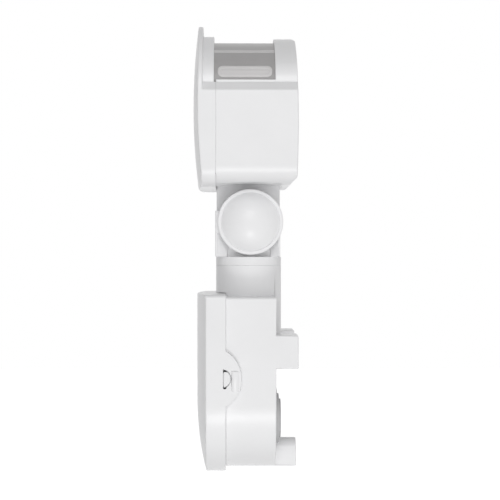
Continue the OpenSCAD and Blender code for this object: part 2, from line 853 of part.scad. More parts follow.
// A low platform whose flat top and two slanted sides each carry a sensor
module sensor_carrier() color(white) {
    skin = 1.8;
    base = deck_z + carrier_base_h;
    difference() {
        from_wall(carrier_back, carrier_front)
            polygon([[-carrier_half, deck_z], [carrier_half, deck_z], [carrier_half, base],
                     [carrier_foot_y, base], [carrier_top_y, carrier_top],
                     [-carrier_top_y, carrier_top], [-carrier_foot_y, base], [-carrier_half, base]]);
        from_wall(carrier_back + skin, carrier_front - skin)
            polygon([[-carrier_foot_y + skin, deck_z - 1], [carrier_foot_y - skin, deck_z - 1],
                     [carrier_foot_y - skin, deck_z], [carrier_top_y - 0.7, carrier_top - skin],
                     [0.7 - carrier_top_y, carrier_top - skin], [skin - carrier_foot_y, deck_z]]);
    }
}

// A metal sensor can with a flange and a window, standing on the plane Z = 0
module sensor_can() {
    cylinder(r = can_r, h = 0.5, $fn = 48);
    difference() {
        cylinder(r = can_r - 0.5, h = can_h, $fn = 48);
        translate([-1.5, -2, can_h - 0.3]) cube([3, 4, 1]);
    }
}

module top_pir_sensor() color(metal)
    translate([-(carrier_front + carrier_back) / 2, 0, carrier_top]) sensor_can();

// Plane of the carrier's slanted facets
facet_run = [carrier_foot_y - carrier_top_y, carrier_top - deck_z - carrier_base_h];

module side_sensor(side) {
    translate([-(carrier_front + carrier_back) / 2, side * (carrier_top_y + facet_run[0] / 2),
               carrier_top - facet_run[1] / 2])
        rotate([-side * atan2(facet_run[1], facet_run[0]), 0, 0])
            sensor_can();
}

module left_pir_sensor() color(metal) side_sensor(1);

module right_pir_sensor() color(metal) side_sensor(-1);

module light_sensor() color("#d9c9a0") {
    translate([-carrier_front + 3.4, 0, carrier_top]) cylinder(r = 1.5, h = 2.6, $fn = 32);
}

module status_led() color("#b03028") {
    translate([-carrier_back - 3.4, 0, carrier_top]) {
        cylinder(r = 1.5, h = 2, $fn = 32);
        translate([0, 0, 2]) sphere(r = 1.5, $fn = 32);
    }
}

module circuit_board() color("#3f7a4d") {
    difference() {
        block([board_back, board_front], [-board_half_w, board_half_w], [board_low, board_high]);
        board_places() bar_x(board_screw_r + 0.25, 0, deep, 0, 0);
    }
}

module board_screws() color(metal) {
    board_places()
        difference() {
            union() {
                bar_x(board_screw_r, board_front - 9, board_front + 0.5, 0, 0, 32);
                bar_x(2.3, board_front, board_front + 1.6, 0, 0, 32);
            }
            block([board_front + 0.9, deep], [-0.35, 0.35], [-1.6, 1.6]);
            block([board_front + 0.9, deep], [-1.6, 1.6], [-0.35, 0.35]);
        }
}

module relay() color("#2f5f9a")
    block([board_front, board_front + relay_h], [1 - board_half_w, 1 - board_half_w + relay_w],
          [parts_low, parts_low + relay_h]);

module film_capacitor() color("#c8b23c")
    block([board_front, board_front + film_depth], [board_half_w - 3 - film_w, board_half_w - 3],
          [parts_low, parts_low + film_h]);

module smoothing_capacitor() color("#26262a")
    bar_x(drum_r, board_front, board_front + drum_h, 2 * board_half_w / 3 - 8,
          board_high - drum_r - 1.5);

module trimmer(y) color("#e4e4e6") {
    difference() {
        block([board_back - 6, board_back], [y - 4.7, y + 4.7], [dial_z - 4.7, dial_z + 4.7]);
        bar_x(1.56, board_back - 7, board_back - 1.5, y, dial_z);
    }
}

module time_trimmer() trimmer(-dial_y);

module light_trimmer() trimmer(dial_y);

// A setting dial: a slotted round knob with a pointer notch on a thin shaft
module dial(y) color(grey) {
    difference() {
        union() {
            bar_x(dial_r, head_back + 0.8, head_back + 3.8, y, dial_z, 64);
            bar_x(2, head_back + 3, head_back + 9, y, dial_z, 48);
            bar_x(1.5, head_back + 8, board_back - 2, y, dial_z, 48);
        }
        block([head_back, head_back + 2.2], [y - 0.6, y + 0.6], [dial_z - 3.6, dial_z + dial_r + 1]);
    }
}

module time_dial() dial(-dial_y);

module light_dial() dial(dial_y);

box_housing();
box_cover();
cover_gasket();
left_cable_grommet();
right_cable_grommet();
terminal_block();
terminal_cages();
terminal_screws();
block_screw();
box_leads();
swivel_yoke();
snap_ring();
swivel_seal();
pivot_bolt();
pivot_nut();
friction_washers();
left_pivot_cap();
right_pivot_cap();
head_housing();
head_cover();
head_gasket();
head_screws();
head_leads();
lens();
sensor_carrier();
top_pir_sensor();
left_pir_sensor();
right_pir_sensor();
light_sensor();
status_led();
circuit_board();
board_screws();
relay();
film_capacitor();
smoothing_capacitor();
time_trimmer();
light_trimmer();
time_dial();
light_dial();
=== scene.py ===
import json
import math

import bmesh
import bpy
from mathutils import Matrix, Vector


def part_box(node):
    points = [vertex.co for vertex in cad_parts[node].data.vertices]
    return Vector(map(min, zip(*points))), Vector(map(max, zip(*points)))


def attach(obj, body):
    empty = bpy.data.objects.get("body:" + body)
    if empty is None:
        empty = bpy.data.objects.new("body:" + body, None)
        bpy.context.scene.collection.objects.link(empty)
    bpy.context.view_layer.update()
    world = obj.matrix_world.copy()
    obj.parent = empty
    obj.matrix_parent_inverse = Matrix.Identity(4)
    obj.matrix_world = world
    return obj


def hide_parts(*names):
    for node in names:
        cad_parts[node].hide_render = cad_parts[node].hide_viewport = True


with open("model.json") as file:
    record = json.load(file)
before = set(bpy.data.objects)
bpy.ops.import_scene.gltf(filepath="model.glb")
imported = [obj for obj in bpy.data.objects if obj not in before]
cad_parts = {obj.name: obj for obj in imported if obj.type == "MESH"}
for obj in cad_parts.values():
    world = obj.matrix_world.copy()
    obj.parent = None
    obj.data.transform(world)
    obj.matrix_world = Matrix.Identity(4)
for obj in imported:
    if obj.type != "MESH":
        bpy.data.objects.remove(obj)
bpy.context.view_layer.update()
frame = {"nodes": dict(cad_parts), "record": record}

# Sizes and places in the dictionaries are in mm, angles in degrees, a lamp's power in watts
mm = 0.001


def linkedObject(name, data):
    obj = bpy.data.objects.new(name, data)
    bpy.context.scene.collection.objects.link(obj)
    return obj


def frozen(obj):
    # The mesh that an object's modifiers make
    return bpy.data.meshes.new_from_object(obj.evaluated_get(bpy.context.evaluated_depsgraph_get()))


def placeAndAim(obj, place, target):
    obj.location = Vector(place) * mm
    direction = Vector(target) * mm - obj.location
    obj.rotation_euler = direction.to_track_quat("-Z", "Y").to_euler()


# The camera looks level at the side from far off, turned a little so that the device sits left of
# the picture's centre
camera = {
    "place": (-31.35, -675, 44.2),
    "target": (-20.55, 0, 44.2),
    "lens": 107.5,
    "sensorWidth": 36,
}


def addCamera():
    data = bpy.data.cameras.new("sideCamera")
    data.lens = camera["lens"]
    data.sensor_width = camera["sensorWidth"]
    data.clip_start = 0.01
    data.clip_end = 50
    obj = linkedObject("sideCamera", data)
    placeAndAim(obj, camera["place"], camera["target"])
    bpy.context.scene.camera = obj


addCamera()
print("camera placed")


def linear(colour):
    # sRGB hex to linear values
    parts = [int(colour[i:i + 2], 16) / 255 for i in (1, 3, 5)]
    return [p / 12.92 if p <= 0.04045 else ((p + 0.055) / 1.055) ** 2.4 for p in parts] + [1.0]


def addNode(tree, kind, settings=None, links=None):
    # settings are input values or properties, links the outputs that feed inputs
    node = tree.nodes.new(kind)
    for key, value in (settings or {}).items():
        if key in node.inputs:
            node.inputs[key].default_value = value
        else:
            setattr(node, key, value)
    for key, source in (links or {}).items():
        tree.links.new(source, node.inputs[key])
    return node


def newMaterial(name):
    material = bpy.data.materials.new(name)
    material.use_nodes = True
    material.node_tree.nodes.clear()
    return material, material.node_tree, addNode(material.node_tree, "ShaderNodeOutputMaterial")


def speckled(tree, colour, spread, scale):
    # A colour that wavers a little over the surface
    coords = addNode(tree, "ShaderNodeTexCoord")
    noise = addNode(tree, "ShaderNodeTexNoise", {"Scale": scale, "Detail": 3, "Roughness": 0.6},
                    {"Vector": coords.outputs["Object"]})
    ramp = addNode(tree, "ShaderNodeValToRGB", {}, {"Fac": noise.outputs["Fac"]})
    shades = linear(colour)
    for stop, factor, position in zip(ramp.color_ramp.elements, (1 - spread, 1 + spread), (0.3, 0.7)):
        stop.color = [min(1, c * factor) for c in shades[:3]] + [1]
        stop.position = position
    return coords, ramp


# smearRange is how far the roughness wavers, as shares of it
plasticFinish = {"mottleScale": 60, "grainHeight": 0.05, "smearScale": 65, "smearRange": (0.93, 1.07)}


def moulded(name, colour, rough, ior=1.53, grain=0.15, strength=0.06, spread=0.012, metal=0.0):
    # grain is the spacing in mm of the fine texture that the mould or the plating leaves
    material, tree, out = newMaterial(name)
    coords, ramp = speckled(tree, colour, spread, plasticFinish["mottleScale"])
    fine = addNode(tree, "ShaderNodeTexNoise", {"Scale": 1 / (grain * mm), "Detail": 2},
                   {"Vector": coords.outputs["Object"]})
    bump = addNode(tree, "ShaderNodeBump",
                   {"Strength": strength, "Distance": plasticFinish["grainHeight"] * mm},
                   {"Height": fine.outputs["Fac"]})
    # Faint smears where hands have touched it: the sheen wavers over some 15 mm
    smear = addNode(tree, "ShaderNodeTexNoise",
                    {"Scale": plasticFinish["smearScale"], "Detail": 4, "Distortion": 0.6},
                    {"Vector": coords.outputs["Object"]})
    least, most = [rough * share for share in plasticFinish["smearRange"]]
    sheen = addNode(tree, "ShaderNodeMapRange",
                    {"From Min": 0.35, "From Max": 0.65, "To Min": least, "To Max": most},
                    {"Value": smear.outputs["Fac"]})
    body = addNode(tree, "ShaderNodeBsdfPrincipled", {"IOR": ior, "Metallic": metal},
                   {"Base Color": ramp.outputs["Color"], "Normal": bump.outputs["Normal"],
                    "Roughness": sheen.outputs["Result"]})
    tree.links.new(body.outputs["BSDF"], out.inputs["Surface"])
    return material


# ribScale draws the ribs of the pressed lens wider apart than the real ones, so that they show
sheetFinish = {"mottle": 0.03, "mottleScale": 90, "ribScale": 176.92852, "ribStrength": 0.12,
               "ribHeight": 0.1, "rough": 0.3}


def milkyLens(name, colour, clearest, densest):
    # Thin milky sheet: what stands behind it shows faintly, and less so where the sheet is seen aslant
    material, tree, out = newMaterial(name)
    coords, ramp = speckled(tree, colour, sheetFinish["mottle"], sheetFinish["mottleScale"])
    ribs = addNode(tree, "ShaderNodeTexWave",
                   {"bands_direction": "Z", "Scale": sheetFinish["ribScale"], "Distortion": 0.0},
                   {"Vector": coords.outputs["Object"]})
    bump = addNode(tree, "ShaderNodeBump",
                   {"Strength": sheetFinish["ribStrength"], "Distance": sheetFinish["ribHeight"] * mm},
                   {"Height": ribs.outputs["Fac"]})
    aslant = addNode(tree, "ShaderNodeLayerWeight", {"Blend": 0.5})
    veil = addNode(tree, "ShaderNodeMapRange", {"To Min": clearest, "To Max": densest},
                   {"Value": aslant.outputs["Facing"]})
    body = addNode(tree, "ShaderNodeBsdfPrincipled", {"Roughness": sheetFinish["rough"], "IOR": 1.51},
                   {"Base Color": ramp.outputs["Color"], "Normal": bump.outputs["Normal"],
                    "Alpha": veil.outputs["Result"]})
    tree.links.new(body.outputs["BSDF"], out.inputs["Surface"])
    return material


materials = {
    # Moulded UV-stable ABS: clean white with a satin sheen and a very fine spark-eroded grain
    "abs_white": moulded("mouldedWhiteAbs", "#efeff0", 0.32),
    "carrier_white": moulded("mouldedMatteWhiteAbs", "#e4e4e4", 0.6),
    # Other moulded plastics inside: a little duller and coarser than the shells
    "trimmer_white": moulded("mouldedWhitePbt", "#e0e0e2", 0.5),
    "block_ivory": moulded("mouldedIvoryPolyamide", "#d9d6cc", 0.5, grain=0.25),
    "dial_grey": moulded("mouldedGreyPolyamide", "#9c9c9e", 0.5),
    "washer_fibre": moulded("pressedGreyFibre", "#8f9092", 0.8, grain=0.4, strength=0.2),
    "lead_insulation": moulded("extrudedBluePvc", "#5b70a8", 0.4),
    # Moulded rubber: soft grey or black with almost no shine
    "grommet_grey": moulded("mouldedGreyTpe", "#bcbcbd", 0.65, grain=0.3),
    "seal_grey": moulded("foamedGreySilicone", "#7f7f82", 0.8, grain=0.4, strength=0.3),
    "seal_black": moulded("mouldedBlackNitrile", "#202022", 0.5),
    # Plated metals: bright, with the faint tint of their plating
    "zinc_steel": moulded("zincPlatedSteel", "#c6c8cc", 0.3, metal=1.0, spread=0.05),
    "spring_steel": moulded("bluedSpringSteel", "#6a6d74", 0.35, metal=1.0, spread=0.05),
    "sensor_can": moulded("nickelPlatedSteel", "#c4c2bd", 0.25, metal=1.0, spread=0.03),
    "cage_brass": moulded("nickelledBrass", "#c8a75a", 0.35, metal=1.0, spread=0.05),
    # Electronics: glossy cast resins, lacquered board, coloured cases
    "photo_resin": moulded("castClearEpoxy", "#d9ccab", 0.15),
    "led_red": moulded("castRedEpoxy", "#b3302a", 0.15),
    "board_green": moulded("solderResistOnGlassEpoxy", "#2f6b40", 0.35, grain=0.5, spread=0.06),
    "relay_blue": moulded("mouldedBluePbt", "#2f5f9a", 0.4),
    "film_yellow": moulded("pottedYellowPolyester", "#c9b23f", 0.45),
    "sleeve_black": moulded("shrunkBlackPvcSleeve", "#242428", 0.35),
    # Pressed milky polyethylene: lets infrared through, and a little light
    "lens_milky": milkyLens("pressedMilkyPolyethylene", "#bdbbbb", 0.66, 0.97),
}
slotOf = {s["node"]: s["material_slot"] for s in frame["record"]["subparts"]}
bodyOf = {n: b for b, ns in frame["record"]["behaviour"]["bodies"].items() for n in ns}
for name, obj in frame["nodes"].items():
    obj.data.materials.clear()
    obj.data.materials.append(materials[slotOf[name]])
print("materials set")


def joinedCopy(node):
    # The node's mesh with its doubles merged and its flat faces whole, so that a bevel finds real edges
    shape = bmesh.new()
    shape.from_mesh(frame["nodes"][node].data)
    bmesh.ops.remove_doubles(shape, verts=shape.verts, dist=2e-7)
    bmesh.ops.dissolve_limit(shape, angle_limit=math.radians(0.3), verts=shape.verts, edges=shape.edges)
    return shape


def addPiece(name, shape, nodes, smoothAngle=30):
    # A finished piece: it hides its nodes, rides on their body and takes the material of their slot
    for face in shape.faces:
        face.smooth = True
    for edge in shape.edges:
        edge.smooth = edge.calc_face_angle(math.pi) < math.radians(smoothAngle)
    mesh = bpy.data.meshes.new(name)
    shape.to_mesh(mesh)
    shape.free()
    obj = linkedObject(name, mesh)
    mesh.materials.append(materials[slotOf[nodes[0]]])
    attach(obj, bodyOf[nodes[0]])
    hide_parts(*nodes)
    return obj


softening = {"leastAngle": 25, "smoothAngle": 40, "segments": 3}


def softened(name, node, widest, radius):
    # Rounds each sharp convex edge by the radius in mm that the given rule names for it.
    # A rule gets the edge's middle in mm and the normals of its two faces, and names up to widest.
    shape = joinedCopy(node)
    weights = shape.edges.layers.float.new("bevel_weight_edge")
    leastAngle = math.radians(softening["leastAngle"])
    for edge in shape.edges:
        if len(edge.link_faces) != 2 or edge.calc_face_angle(0) < leastAngle or not edge.is_convex:
            continue
        middle = (edge.verts[0].co + edge.verts[1].co) / 2 / mm
        edge[weights] = radius(middle, *[f.normal for f in edge.link_faces]) / widest
    obj = addPiece(name, shape, [node], softening["smoothAngle"])
    bevel = obj.modifiers.new("softEdges", "BEVEL")
    bevel.limit_method = "WEIGHT"
    bevel.width = widest * mm
    bevel.segments = softening["segments"]
    bevel.use_clamp_overlap = False
    # Flat faces keep flat shading beside their rounded edges
    normals = obj.modifiers.new("evenShading", "WEIGHTED_NORMAL")
    normals.keep_sharp = True
    return obj


def near(value, target):
    return abs(value - target) < 0.1


# In the edge rules, out is how far an edge lies from the wall. Edges above softTop stay sharp: the
# neck starts there. So do those near the lower foot, within footClear of the middle.
wallBox = {"halfWidth": 30.25, "roundHeight": -22.8, "top": 23.8, "back": 9.6, "seam": 31.5,
           "feetTop": 8, "softTop": 20, "footClear": 9,
           "backEdge": 0.4, "seamEdge": 0.3, "footEdge": 0.7, "footEnd": 0.5}


def boxGap(point, halfWidth, top):
    # How far inside the box's outline a point lies
    if point.z < wallBox["roundHeight"]:
        return halfWidth - math.hypot(point.y, point.z - wallBox["roundHeight"])
    return min(halfWidth - abs(point.y), top - point.z)


def housingEdge(middle, a, b):
    out = -middle.x
    if out < 0.3:
        return wallBox["footEnd"]
    alongX = max(abs(a.x), abs(b.x)) < 0.1
    if out < wallBox["back"] - 0.05 and alongX and middle.z < wallBox["feetTop"]:
        return wallBox["footEdge"]
    onOutline = boxGap(middle, wallBox["halfWidth"], wallBox["top"]) < 0.3
    if not onOutline or middle.z >= wallBox["softTop"]:
        return 0
    besideFoot = abs(middle.y) < wallBox["footClear"] and middle.z < 0
    if near(out, wallBox["back"]) and not besideFoot:
        return wallBox["backEdge"]
    return wallBox["seamEdge"] if near(out, wallBox["seam"]) else 0


softened("wallBoxHousing", "box_housing", 0.7, housingEdge)

# frontFrom is where the cover's side ends and its bulged front begins. The tongues reach over the
# housing: their outline spans tongueOut, and the seam is open between the heights of tongueSpan.
boxCover = {"halfWidth": 32.35, "top": 24.9, "frontFrom": 38, "face": 32.2,
            "tongueOut": (17.6, 31.4), "tongueSoftFrom": -12, "tongueSpan": (-27, 3),
            "ridgeOut": (25, 29.7), "ridgeHigh": (-16.9, -7.8),
            "frontEdge": 0.5, "seamEdge": 0.3, "tongueEdge": 0.35}


def boxCoverEdge(middle, a, b):
    out = -middle.x
    onOutline = boxGap(middle, boxCover["halfWidth"], boxCover["top"]) < 0.1
    if onOutline and out > boxCover["frontFrom"] and max(-a.x, -b.x) > 0.8:
        return boxCover["frontEdge"]
    low, high = boxCover["tongueSpan"]
    if onOutline and near(out, wallBox["seam"]) and not low < middle.z < high:
        return boxCover["seamEdge"]
    start, end = boxCover["tongueOut"]
    if abs(middle.y) > boxCover["face"] and start < out < end and middle.z > boxCover["tongueSoftFrom"]:
        return boxCover["tongueEdge"]
    return 0


def smoothFingerRidges(piece):
    # The finger ridge on each tongue swells gently out of it, without an edge
    sharp = piece.data.attributes["sharp_edge"].data
    points = piece.data.vertices
    start, end = boxCover["ridgeOut"]
    low, high = boxCover["ridgeHigh"]
    for edge in piece.data.edges:
        middle = (points[edge.vertices[0]].co + points[edge.vertices[1]].co) / 2 / mm
        if abs(middle.y) > boxCover["face"] and start < -middle.x < end and low < middle.z < high:
            sharp[edge.index].value = False


# middle is the latch mark's height; inner and outer are the distances of the painted-shade inlays from
# the middle plane, and corner is the upper inlay's outline as (X, Z)
latchMark = {"middle": -11.7, "inner": 31.2, "outer": 32.37,
             "corner": ((-32.65, -8.5), (-32.65, -8.05), (-32.4, -7.7), (-31.8, -7.65), (-31.3, -7.9),
                        (-31.0, -8.4), (-31.55, -8.3), (-32.2, -8.4))}


def addPaintedLatchShade(piece):
    # Painted shade: flush dark inlays at both ends of each tongue's latch mark, where its openings are
    # dark inside
    shape = bmesh.new()
    shape.from_mesh(piece.data)
    centre = latchMark["middle"]
    for side, flip in ((-1, 1), (-1, -1), (1, 1), (1, -1)):
        outline = [(x, centre + flip * (z - centre)) for x, z in latchMark["corner"]]
        inner, outer = [[shape.verts.new(Vector((x, side * depth, z)) * mm) for x, z in outline]
                        for depth in (latchMark["inner"], latchMark["outer"])]
        faces = [shape.faces.new(inner), shape.faces.new(outer)]
        for i in range(len(outline)):
            j = (i + 1) % len(outline)
            faces.append(shape.faces.new((inner[i], inner[j], outer[j], outer[i])))
        bmesh.ops.recalc_face_normals(shape, faces=faces)
        for face in faces:
            face.material_index = 1
            for edge in face.edges:
                edge.smooth = False
    shape.to_mesh(piece.data)
    shape.free()
    # The inlays' near-black colour is painted shade, not the colour of the plastic
    piece.data.materials.append(moulded("shadowedAbsOpening", "#262628", 0.9))


cover = softened("wallBoxCover", "box_cover", 0.5, boxCoverEdge)
smoothFingerRidges(cover)
addPaintedLatchShade(cover)
print("wall box rounded")

# ledge and deck are the heights of the side ledges and of the lens's foot. backReach, hoodFront,
# hoopBack, plateFrom and plateBack are distances from the wall, and the halves are across from the
# middle plane. footHeight and floorHeight are heights over the bottom.
head = {"seam": 35.8, "ledge": 112.8, "deck": 116.6, "bottom": 72.3, "rimTop": 112,
        "footHeight": 5, "floorHeight": 10,
        "armHalf": 5.5, "floorHalf": 13, "rimHalf": 30, "sideHalf": 31, "shellHalf": 32.3,
        "backReach": 6, "hoodFront": 10.1, "hoopBack": 36.6, "plateFrom": 40, "plateBack": 41.5,
        "backEdge": 0.6, "hoodEdge": 0.4, "ledgeEdge": 0.3, "seamEdge": 0.3, "seamFootEdge": 0.1,
        "plateEdge": 0.5, "plateBackEdge": 0.6, "hoopEdge": 0.3, "armEdge": 0.5, "floorEdge": 0.25}


def headHousingEdge(middle, a, b):
    out, wide, high = -middle.x, abs(middle.y), middle.z
    if high < head["bottom"] + 0.5 and wide < head["armHalf"] + 0.5:
        return head["armEdge"] if wide > head["armHalf"] else 0
    aboveFoot = high > head["bottom"] + head["footHeight"]
    if near(out, head["seam"]):
        return head["seamEdge"] if wide > head["sideHalf"] and aboveFoot else head["seamFootEdge"]
    atBack = out < head["backReach"]
    if high > head["deck"] + 0.5:
        if atBack and max(a.x, b.x) > 0.3:
            return head["hoodEdge"]
        return head["hoopEdge"] if near(out, head["hoodFront"]) and math.hypot(a.x, b.x) > 0.9 else 0
    atRim = wide > head["rimHalf"] or not aboveFoot or high > head["rimTop"]
    if atBack and atRim and max(a.x, b.x) > 0.5:
        return head["backEdge"]
    if wide > head["shellHalf"] and high > head["ledge"] - 1:
        return head["ledgeEdge"]
    atFloor = high < head["bottom"] + head["floorHeight"] and wide > head["floorHalf"]
    return head["floorEdge"] if atFloor and min(a.z, b.z) < -0.4 else 0


def headCoverEdge(middle, a, b):
    out, wide, high = -middle.x, abs(middle.y), middle.z
    if near(out, head["seam"]):
        aboveFoot = high > head["bottom"] + head["footHeight"]
        return head["seamEdge"] if aboveFoot else head["seamFootEdge"]
    if out > head["plateFrom"] and min(a.x, b.x) < -0.8:
        return head["plateEdge"]
    if near(out, head["plateBack"]):
        return head["plateBackEdge"]
    if near(out, head["hoopBack"]) and high > head["deck"]:
        return head["hoopEdge"]
    if wide > head["shellHalf"] and head["ledge"] - 1 < high < head["deck"] + 0.3:
        return head["ledgeEdge"]
    return 0


softened("headHousing", "head_housing", 0.6, headHousingEdge)
softened("headFrontCover", "head_cover", 0.5, headCoverEdge)
print("head rounded")


def arc(centre, radius, start, end, steps):
    turns = [math.radians(start + (end - start) * i / steps) for i in range(steps + 1)]
    return [(centre[0] + radius * math.cos(t), centre[1] + radius * math.sin(t)) for t in turns]


# padX is how far the thicker fields reach along X. padTurn and ridgeTurn are turns round the arch.
lensFields = {"halfWidth": 31.2, "rise": 20.7, "corner": 14, "foot": 116.6,
              "padX": (-35.0, -11.4), "padTurn": (9, 31), "padProud": 0.3, "padCorner": 2.2,
              "ridgeX": (-36.5, -10.2), "ridgeTurn": (55.5, 59.8), "ridgeProud": 0.3, "ridgeSteps": 6}


def onLens(turn, proud):
    # A point of the lens's arch in Y and Z, by the turn from its foot, and how far it stands proud
    half, rise, corner, foot = (lensFields[k] for k in ("halfWidth", "rise", "corner", "foot"))
    wide = ((half - corner) ** 2 + rise ** 2 - corner ** 2) / (2 * (rise - corner))
    low = foot + rise - wide
    change = math.degrees(math.atan2(foot - low, half - corner))
    t = math.radians(turn)
    if turn < change:
        return half - corner + (corner + proud) * math.cos(t), foot + (corner + proud) * math.sin(t)
    return (wide + proud) * math.cos(t), low + (wide + proud) * math.sin(t)


def addField(shape, side):
    # An oblong field pressed thicker, over each side sensor: raised rim, then a shallow dish
    x0, x1 = lensFields["padX"]
    t0, t1 = lensFields["padTurn"]
    proudest, r = lensFields["padProud"], lensFields["padCorner"]
    halfLong, halfHigh = (x1 - x0) / 2, math.radians(t1 - t0) * lensFields["corner"] / 2
    outline = []
    for sx, sy, start in ((1, 1, 0), (-1, 1, 90), (-1, -1, 180), (1, -1, 270)):
        outline += arc((sx * (halfLong - r), sy * (halfHigh - r)), r, start, start + 90, 6)
    rings = []
    steps = ((0, -0.1), (0, 0.1), (0.25, proudest), (1.1, proudest), (1.3, 0.12), (2.4, 0.2))
    for inset, proud in steps:
        fx, fy = 1 - inset / halfLong, 1 - inset / halfHigh
        ring = []
        for px, py in outline:
            y, z = onLens((t0 + t1) / 2 + math.degrees(py * fy / lensFields["corner"]), proud)
            ring.append(shape.verts.new(Vector(((x0 + x1) / 2 + px * fx, side * y, z)) * mm))
        rings.append(ring)
    faces = [shape.faces.new([a[i], a[(i + 1) % len(a)], b[(i + 1) % len(a)], b[i]])
             for a, b in zip(rings, rings[1:]) for i in range(len(a))]
    return faces + [shape.faces.new(rings[-1])]


def addRidge(shape, side):
    # A ridge along the border of the upper fields, its feet sunk a little into the sheet
    start, end = lensFields["ridgeTurn"]
    steps = lensFields["ridgeSteps"]
    rows = []
    for step in range(steps + 1):
        swell = lensFields["ridgeProud"] * math.sin(math.pi * step / steps) - 0.02
        y, z = onLens(start + (end - start) * step / steps, swell)
        rows.append([shape.verts.new(Vector((x, side * y, z)) * mm) for x in lensFields["ridgeX"]])
    return [shape.faces.new([a[0], a[1], b[1], b[0]]) for a, b in zip(rows, rows[1:])]


def addLens():
    shape = joinedCopy("lens")
    for side in (1, -1):
        for face in addField(shape, side) + addRidge(shape, side):
            face.material_index = 1
            face.normal_update()
            # Outward is away from a line inside the arch, 100 mm up
            middle = face.calc_center_median() / mm
            if face.normal.dot(Vector((0, middle.y, middle.z - 100))) < 0:
                face.normal_flip()
    lens = addPiece("sensorLens", shape, ["lens"])
    lens.data.materials.append(milkyLens("thickMilkyPolyethylene", "#e2e0e0", 0.8, 0.9))


addLens()
print("lens pressed")


def turned(profile, centre, axis, steps=96):
    # A closed round shape: profile gives (radius, distance along the axis) from axis to axis, in mm
    shape = bmesh.new()
    rings = []
    for radius, along in profile:
        ring = []
        for i in range(steps if radius > 0 else 1):
            turn = 2 * math.pi * i / steps
            p, q = radius * math.cos(turn), radius * math.sin(turn)
            place = (p, along, q) if axis == "Y" else (along, p, q)
            ring.append(shape.verts.new(Vector([c + d for c, d in zip(centre, place)]) * mm))
        rings.append(ring)
    for low, high in zip(rings, rings[1:]):
        for i in range(steps):
            j = (i + 1) % steps
            corners = [low[i % len(low)], low[j % len(low)], high[j % len(high)], high[i % len(high)]]
            shape.faces.new(list(dict.fromkeys(corners)))
    bmesh.ops.recalc_face_normals(shape, faces=shape.faces)
    return shape


def newGeometryTree(name, inputs):
    # inputs gives each input's socket kind and its default, or None
    tree = bpy.data.node_groups.new(name, "GeometryNodeTree")
    tree.interface.new_socket(name="Geometry", in_out="OUTPUT", socket_type="NodeSocketGeometry")
    for label, (kind, default) in inputs.items():
        socket = tree.interface.new_socket(name=label, in_out="INPUT",
                                           socket_type="NodeSocket" + kind)
        if default is not None:
            socket.default_value = default
    return tree, addNode(tree, "NodeGroupInput").outputs, addNode(tree, "NodeGroupOutput")


def finished(tree, geometry, given, out):
    # Real geometry in the given material, as the tree's result
    painted = addNode(tree, "GeometryNodeSetMaterial", {},
                      {"Geometry": geometry, "Material": given["Finish"]})
    tree.links.new(painted.outputs[0], out.inputs[0])
    return tree


def grown(name, tree, values):
    # Runs a tree on an empty mesh and returns the plain mesh that it makes
    draft = linkedObject(name + "Draft", bpy.data.meshes.new(name + "Draft"))
    nodes = draft.modifiers.new(name, "NODES")
    nodes.node_group = tree
    for item in tree.interface.items_tree:
        if item.in_out == "INPUT" and item.name in values:
            nodes[item.identifier] = values[item.name]
    mesh = frozen(draft)
    draft.modifiers.remove(nodes)
    bpy.data.objects.remove(draft)
    return mesh


def screwTree():
    # Screws at the corners of a rectangle across the device, each turned by chance
    tree, given, out = newGeometryTree("screwRectangle", {
        "Across": ("Float", 0.05), "Up": ("Float", 0.02), "Columns": ("Int", 2), "Rows": ("Int", 2),
        "First": ("Vector", None), "Screw": ("Object", None), "Finish": ("Material", None),
        "Seed": ("Int", 3)})
    acrossStep = addNode(tree, "ShaderNodeCombineXYZ", {}, {"Y": given["Across"]})
    upStep = addNode(tree, "ShaderNodeCombineXYZ", {}, {"Z": given["Up"]})
    row = addNode(tree, "GeometryNodeMeshLine", {},
                  {"Count": given["Columns"], "Offset": acrossStep.outputs[0]})
    column = addNode(tree, "GeometryNodeMeshLine", {},
                     {"Count": given["Rows"], "Start Location": given["First"],
                      "Offset": upStep.outputs[0]})
    rows = addNode(tree, "GeometryNodeInstanceOnPoints", {},
                   {"Points": column.outputs[0], "Instance": row.outputs[0]})
    places = addNode(tree, "GeometryNodeRealizeInstances", {}, {"Geometry": rows.outputs[0]})
    screw = addNode(tree, "GeometryNodeObjectInfo", {}, {"Object": given["Screw"]})
    chance = addNode(tree, "FunctionNodeRandomValue", {"data_type": "FLOAT"}, {"Seed": given["Seed"]})
    # A cross looks the same after a quarter turn
    chance.inputs[3].default_value = math.pi / 2
    turn = addNode(tree, "ShaderNodeCombineXYZ", {}, {"X": chance.outputs[1]})
    screws = addNode(tree, "GeometryNodeInstanceOnPoints", {},
                     {"Points": places.outputs[0], "Instance": screw.outputs["Geometry"],
                      "Rotation": turn.outputs[0]})
    solid = addNode(tree, "GeometryNodeRealizeInstances", {}, {"Geometry": screws.outputs[0]})
    return finished(tree, solid.outputs[0], given, out)


# The cross's arms are shares of the head's radius, its depth a share of the head's height
screwForm = {"pitch": 1.0, "threadDepth": 0.15, "steps": 32, "armHalf": 0.13, "armReach": 0.62,
             "crossDepth": 0.55}


def screwProfile(headRadius, headHeight, shaftRadius, length):
    pitch, core = screwForm["pitch"], shaftRadius - screwForm["threadDepth"]
    curve, shoulder = 0.5 * headHeight, 0.4 * headHeight
    profile = [(0, -length), (shaftRadius * 0.5, -length), (shaftRadius, -length + shaftRadius)]
    # The thread is drawn as rings
    for i in range(int((length - 2 * shaftRadius) / pitch)):
        start = -length + shaftRadius + pitch * i
        profile += [(core, start + 0.35 * pitch), (shaftRadius, start + 0.75 * pitch)]
    profile += [(core, 0), (headRadius - 0.05, 0), (headRadius, 0.1 * headHeight)]
    profile += [(headRadius, shoulder)] + arc((headRadius - curve, shoulder), curve, 15, 75, 4)
    return profile + [(headRadius * 0.4, headHeight * 0.985), (0, headHeight)]


